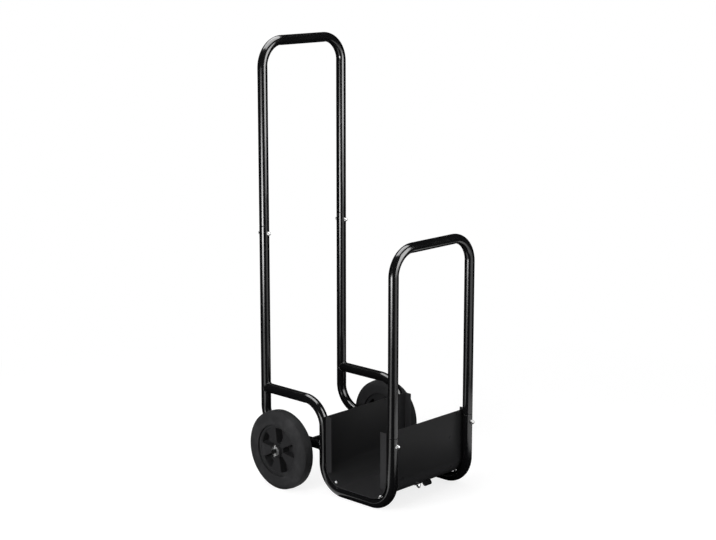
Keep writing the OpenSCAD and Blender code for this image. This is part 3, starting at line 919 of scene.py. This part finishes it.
def rim(side, word):
    bm = bmesh.new()
    step_r = rim_r - rim_edge
    edge = [(step_r - edge_r, spoke_face)]
    edge += arc(step_r - edge_r, spoke_face + edge_r, edge_r, -90, 0, 3)[1:]
    edge += arc(step_r + edge_r, rim_half - edge_r, edge_r, 180, 90, 3)
    edge += arc(rim_r - rim_round, rim_half - rim_round, rim_round, 90, 0, 4)
    edge += arc(rim_r - rim_round, rim_round - rim_half, rim_round, 0, -90, 4)
    edge += [(step_r - edge_r, -rim_half)]
    fillet, ease, mouth_ease = 1.4 * mm, 0.8 * mm, 0.5 * mm
    hub = [(hub_r + fillet, spoke_face)]
    hub += arc(hub_r + fillet, spoke_face + fillet, fillet, 270, 180, 4)[1:]
    hub += arc(hub_r - ease, hub_out - ease, ease, 0, 90, 3)
    hub += [(hub_bore + mouth_ease, hub_out), (hub_bore, hub_out - mouth_ease)]
    hub += [(hub_bore, mouth_ease - hub_in), (hub_bore + mouth_ease, -hub_in)]
    hub += arc(hub_r - ease, ease - hub_in, ease, -90, 0, 3)
    hub += arc(hub_r + fillet, -rim_half - fillet, fillet, 180, 90, 4)
    turned(bm, edge, 120)
    turned(bm, hub, 72)
    for i in range(spokes):
        angle = first_window[word] + i * 2 * math.pi / spokes
        pocket(bm, spoke_face, -1, angle, window_half, pocket_in)
        pocket(bm, -rim_half, 1, angle + math.pi / spokes, back_half, back_pocket_in)
    fill_face(bm, spoke_face, -1)
    fill_face(bm, -rim_half, 1)
    set_out(bm, [on_wheel(side)])
    made_of(bm, "moulded_rim_" + word, rim_plastic, "wheel_" + word, ["rim_" + word],
            crease=40)


for side, word in sides:
    rim(side, word)

# ---- tyres -----------------------------------
# Solid rubber tyres with round shoulders and a smooth tread. A fine mould line
# runs round the middle of the tread, and a bead seats against the rim's edge.

tyre_r = (tyre_hi.z - tyre_lo.z) / 2
tyre_half = (tyre_hi.x - tyre_lo.x) / 2
bulge_r = 19 * mm
bulge_turn = 41             # degrees from the tread to where the side wall bulges
bulge_depth = 15.75 * mm    # from the tread to the bulge's centre
tread_edge_r = 2.5 * mm
flash = 0.25 * mm           # height of the mould line, then its half widths
flash_foot, flash_top = 0.7 * mm, 0.25 * mm
# Shallow groove beside the bead, in millimetres above the rim and deep.
bead_groove = ((6.5, 0.6), (5.2, 0.35), (3.4, 0.5))
rubber = moulded("tyre_rubber", (0.0205, 0.0205, 0.0214), gloss=0.6, pitting=1300.0,
                 bloom=0.25, depth=0.08 * mm, level=0.05)


def tyre(side, word):
    tread_r = tyre_r - flash
    bead = 1.6 * mm
    lip = 0.5 * mm
    bulge_at = (tread_r - bulge_depth, tyre_half - bulge_r)
    turn = math.radians(bulge_turn)
    corner_at = (bulge_at[0] + (bulge_r - tread_edge_r) * math.cos(turn),
                 bulge_at[1] + (bulge_r - tread_edge_r) * math.sin(turn))
    half = arc(*corner_at, tread_edge_r, 4, bulge_turn, 4)
    half += arc(*bulge_at, bulge_r, bulge_turn, 86, 9)[1:]
    half += [(rim_r + up * mm, tyre_half - deep * mm) for up, deep in bead_groove]
    half += arc(rim_r + bead, tyre_half - bead - lip, bead, 90, 180, 4)
    line = [(tread_r, flash_foot), (tyre_r, flash_top)]
    outline = [(r, -h) for r, h in reversed(line + half)] + line + half
    outline.append(outline[0])
    bm = bmesh.new()
    turned(bm, outline, 144)
    set_out(bm, [on_wheel(side)])
    made_of(bm, "moulded_tyre_" + word, rubber, "wheel_" + word, ["tyre_" + word],
            crease=50)


for side, word in sides:
    tyre(side, word)

# ---- wheel bushes ----------------------------
# Plain steel sleeves pressed through the hubs, so that the wheels run on metal.
# Their ends show as a thin ring between hub and washer.

bush_steel = plated("bush_steel", (0.44, 0.44, 0.43), gloss=0.34, fineness=1400.0)
for side, word in sides:
    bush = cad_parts["bush_" + word]
    bush.data.materials.clear()
    bush.data.materials.append(bush_steel)

# ---- washers ---------------------------------
# Punched steel washers on both sides of each hub, which keep it clear of the
# sleeve and of the split pin. Bright zinc plated.

washer_t = 1.5 * mm
washer_bore = axle_r + 0.2 * mm
for name, node in (("inner_punched_washers", "inner_washers"),
                   ("outer_punched_washers", "outer_washers")):
    washer_lo, washer_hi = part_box(node)
    disc_r = (washer_hi.z - washer_lo.z) / 2
    pair = bmesh.new()
    washer_like(pair, disc_r, washer_bore, washer_hi.x - washer_t, washer_hi.x,
                ease=0.35 * mm)
    set_out(pair, [along_axle(LEFT), along_axle(RIGHT)])
    made_of(pair, name, zinc, "frame", [node])

# ---- split pins ------------------------------
# Half-round wire doubled back on itself, with its eye below the axle. The legs
# come up through the axle and are spread a little, which keeps the wheel on.

wire_r = 1.5 * mm
eye_r = 1.3 * mm
neck_r = 2.6 * mm
short_leg = 1.5 * mm     # how much shorter the second leg is
leg_lean = 28.0          # how fast the legs lean apart above the axle
pin_steel = plated("pin_steel", (0.86, 0.86, 0.84), gloss=0.24, fineness=1100.0)


def split_pin(word):
    pin_lo, pin_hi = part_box("split_pin_" + word)
    x = (pin_lo.x + pin_hi.x) / 2
    eye_z = pin_lo.z + wire_r + eye_r
    neck_z = eye_z + math.sqrt((neck_r + eye_r) ** 2 - neck_r ** 2)
    spread = math.acos(neck_r / (neck_r + eye_r))
    bm = bmesh.new()
    bmesh.ops.create_circle(bm, cap_ends=True, segments=20, radius=wire_r)
    bmesh.ops.bisect_plane(bm, geom=bm.verts[:] + bm.edges[:] + bm.faces[:], dist=0.001 * mm,
                           plane_co=(0, 0, 0), plane_no=(0, 1, 0), clear_outer=True)
    bmesh.ops.translate(bm, verts=bm.verts, vec=(x, axle_y, pin_hi.z))
    half = draw_out(bm, bm.faces[:], DOWN * (pin_hi.z - neck_z))
    for centre_y, centre_z, angle in ((-neck_r, neck_z, -spread),
                                      (0, eye_z, math.pi + 2 * spread),
                                      (neck_r, neck_z, -spread)):
        swept = bmesh.ops.spin(bm, geom=whole(half), cent=(x, axle_y + centre_y, centre_z),
                               axis=(1, 0, 0), angle=angle, steps=14)["geom_last"]
        half = of_kind(swept, bmesh.types.BMFace)
    draw_out(bm, half, UP * (pin_hi.z - neck_z - short_leg))
    long_edge = 8 * mm
    legs = [e for e in bm.edges if abs(e.verts[0].co.z - e.verts[1].co.z) > long_edge]
    bmesh.ops.subdivide_edges(bm, edges=legs, cuts=10)
    for vert in bm.verts:
        above = vert.co.z - axle_z - axle_r
        if above > 0:
            lean = leg_lean * above ** 2
            vert.co.y += lean if vert.co.y > axle_y + 0.1 * hair else -lean
    made_of(bm, "bent_split_pin_" + word, pin_steel, "frame", ["split_pin_" + word],
            crease=40)


for side, word in sides:
    split_pin(word)

# ---- floor and lights ------------------------
# A pale studio floor that turns pure white away from the cart. Soft lights stand to
# the left and the right of the camera and one hangs above. Black cloths keep the
# white room out of what the glossy faces mirror.

white = (1.0, 1.0, 1.0, 1.0)
matt_grey = (0.3, 0.3, 0.3, 1.0)
floor_half = 40
floor_fill = 0.81             # light that the floor gives off near the cart
pale_r, white_r = 0.7, 1.6    # metres over which the floor turns white
sky_light = 0.35
heading = math.radians(46.43)


def seen_from_background(tree):
    """1 for rays that may see the white background, 0 for those that light things."""
    path = new_node(tree, "LightPath").outputs
    direct = reckon(tree, "MAXIMUM", path["Is Camera Ray"], path["Is Glossy Ray"])
    return reckon(tree, "MAXIMUM", direct, path["Is Transmission Ray"])


def matt(name, colour, roughness):
    """Material without any gloss. Gives the material, its tree and its shader."""
    material = bpy.data.materials.new(name)
    material.use_nodes = True
    shader = material.node_tree.nodes["Principled BSDF"]
    fill_in(material.node_tree, shader, Base_Color=colour, Roughness=roughness,
            Specular_IOR_Level=0.0)
    return material, material.node_tree, shader


def shining(tree, strength):
    """White light given off by a face."""
    return new_node(tree, "Emission", Color=white, Strength=strength).outputs["Emission"]


def studio_floor():
    material, tree, shader = matt("white_floor", matt_grey, 0.9)
    length = new_node(tree, "VectorMath")
    length.operation = "LENGTH"
    give(tree, new_node(tree, "TexCoord").outputs["Object"], length.inputs[0])
    away = remap(tree, length.outputs["Value"], pale_r, white_r, 0.0, 1.0)
    shown = seen_from_background(tree)
    lit = new_node(tree, "AddShader")
    give(tree, shader.outputs["BSDF"], lit.inputs[0])
    give(tree, shining(tree, reckon(tree, "MULTIPLY", shown, floor_fill)), lit.inputs[1])
    both = new_node(tree, "MixShader")
    give(tree, away, both.inputs[0])
    give(tree, lit.outputs["Shader"], both.inputs[1])
    give(tree, shining(tree, shown), both.inputs[2])
    give(tree, both.outputs["Shader"], tree.nodes["Material Output"].inputs["Surface"])
    bm = bmesh.new()
    bmesh.ops.create_grid(bm, x_segments=2, y_segments=2, size=floor_half)
    floor = set_down(bm, "studio_floor", material)


studio_floor()

world = bpy.data.worlds.new("white_studio")
bpy.context.scene.world = world
world.use_nodes = True
studio_air = world.node_tree
fill_in(studio_air, studio_air.nodes["Background"], Color=white,
        Strength=remap(studio_air, seen_from_background(studio_air), 0.0, 1.0, sky_light, 1.0))


def compass(degrees):
    """Level direction from the cart, in degrees to the left of the camera."""
    turn = math.radians(degrees)
    back = Vector((-math.sin(heading), -math.cos(heading), 0))
    return Matrix.Rotation(-turn, 3, "Z") @ back


def softbox(name, degrees, distance, width, low, high, radiance, mirrored=True, lights=False):
    """Upright soft light, either mirrored in glossy faces or lighting matt ones, or both."""
    made = bpy.data.lights.new(name, "AREA")
    made.shape = "RECTANGLE"
    made.size = width
    made.size_y = high - low
    made.energy = radiance * width * (high - low) * math.pi
    lamp = placed(name, made)
    lamp.location = compass(degrees) * distance + Vector((0, 0, (low + high) / 2))
    lamp.rotation_euler = compass(degrees).to_track_quat("Z", "Y").to_euler()
    lamp.visible_camera = False
    lamp.visible_glossy = mirrored
    lamp.visible_diffuse = lights
    return lamp


cloth_black = matt("cloth_black", (0.004, 0.004, 0.004, 1.0), 1.0)[0]


def black_cloth(name, bm):
    """Cloth that darkens only what glossy faces mirror."""
    cloth = set_down(bm, name, cloth_black)
    cloth.visible_camera = False
    cloth.visible_diffuse = False
    cloth.visible_shadow = False


room_r = 3.2
room_h = 3.4
curtain = bmesh.new()
bmesh.ops.create_cone(curtain, cap_ends=False, segments=96, radius1=room_r, radius2=room_r,
                      depth=room_h, matrix=Matrix.Translation((0, 0, room_h / 2)))
bmesh.ops.create_circle(curtain, cap_ends=True, segments=96, radius=room_r,
                        matrix=Matrix.Translation((0, 0, room_h)))
black_cloth("black_curtain", curtain)

# Cloths on the floor, each from one compass angle to another and from near to far. The short one to
# the right of the camera, out to 0.55 m, is painted shadow: it darkens the floor under the cart
# only in what the glossy faces mirror.
apron_and_shadow_places = ((-28, 28, 0.0, room_r), (62, 255, 0.0, room_r), (-105, -28, 1.1, room_r),
                (-105, -28, 0.0, 0.55), (28, 62, 1.8, room_r))
apron_steps = 24
aprons = bmesh.new()
for start, end, near, far in apron_and_shadow_places:
    turns = [start + (end - start) * i / apron_steps for i in range(apron_steps + 1)]
    outline = [(turn, far) for turn in turns]
    outline += [(turn, near) for turn in reversed(turns)] if near else [(0, 0.0)]
    aprons.faces.new([aprons.verts.new(compass(turn) * reach + Vector((0, 0, 1 * mm)))
                      for turn, reach in outline])
black_cloth("black_aprons_and_painted_shadow", aprons)

# The left softbox has a grid and leans back, so that it shines upwards only. Its
# brightness falls off towards both ends.
left_side, left_away = 40, 1.85         # compass angle and metres from the cart
right_side, right_away = -53, 1.2
softbox_w = 0.95
key_w = 1.2
lean = math.radians(35)
seen_at = math.radians(12)
grid_angle = math.radians(90)
grid_gain = (1 - math.tan(lean - seen_at)) / (1 - math.pi / 4)
for name, low, high, radiance in (("left_softbox_foot", 0.0, 0.11, 4.5),
                                  ("left_softbox_shin", 0.11, 0.20, 10.5),
                                  ("left_softbox", 0.20, 0.50, 18.0),
                                  ("left_softbox_shoulder", 0.50, 0.60, 14.0),
                                  ("left_softbox_neck", 0.60, 0.71, 9.0),
                                  ("left_softbox_top", 0.71, 0.88, 3.5)):
    gridded = softbox(name, left_side, left_away, softbox_w, low, high, radiance)
    gridded.data.size_y *= math.cos(seen_at) / math.cos(lean - seen_at)
    gridded.data.spread = grid_angle
    gridded.data.energy /= grid_gain
    gridded.rotation_euler.rotate_axis("X", lean)
softbox("left_key_light", left_side, left_away, key_w, 0.2, 1.4, 8.6, mirrored=False, lights=True)
for name, low, high, radiance in (("right_softbox_foot", 0.0, 0.45, 0.9),
                                  ("right_softbox", 0.45, 0.65, 3.2),
                                  ("right_softbox_top", 0.65, 1.9, 7.6)):
    softbox(name, right_side, right_away, softbox_w, low, high, radiance)
softbox("right_fill_light", right_side, right_away, softbox_w, 0.0, 1.9, 3.0, mirrored=False,
        lights=True)

top_w, top_l = 1.5, 2.0
top_at = (-0.05, 0.5, 2.3)
for name, radiance, mirrored in (("top_softbox", 6.5, True), ("top_fill_light", 3.2, False)):
    above = softbox(name, 0, 0.0, top_w, 0.0, top_l, radiance, mirrored, not mirrored)
    above.location = top_at
    above.rotation_euler = (0, 0, 0)

# ---- camera ----------------------------------
# A long lens at the photograph's place, to the left of the cart's front and
# looking slightly down on it.

tilt = math.radians(12.04)
lens = bpy.data.cameras.new("studio_camera")
lens.lens = 83.91
lens.sensor_width = 36.0
camera = placed("studio_camera", lens)
camera.location = (-2.957, -2.786, 1.413)
aim = Vector((math.sin(heading) * math.cos(tilt), math.cos(heading) * math.cos(tilt),
              -math.sin(tilt)))
camera.rotation_euler = aim.to_track_quat("-Z", "Y").to_euler()
bpy.context.scene.camera = camera
bpy.context.scene.view_settings.view_transform = "Standard"
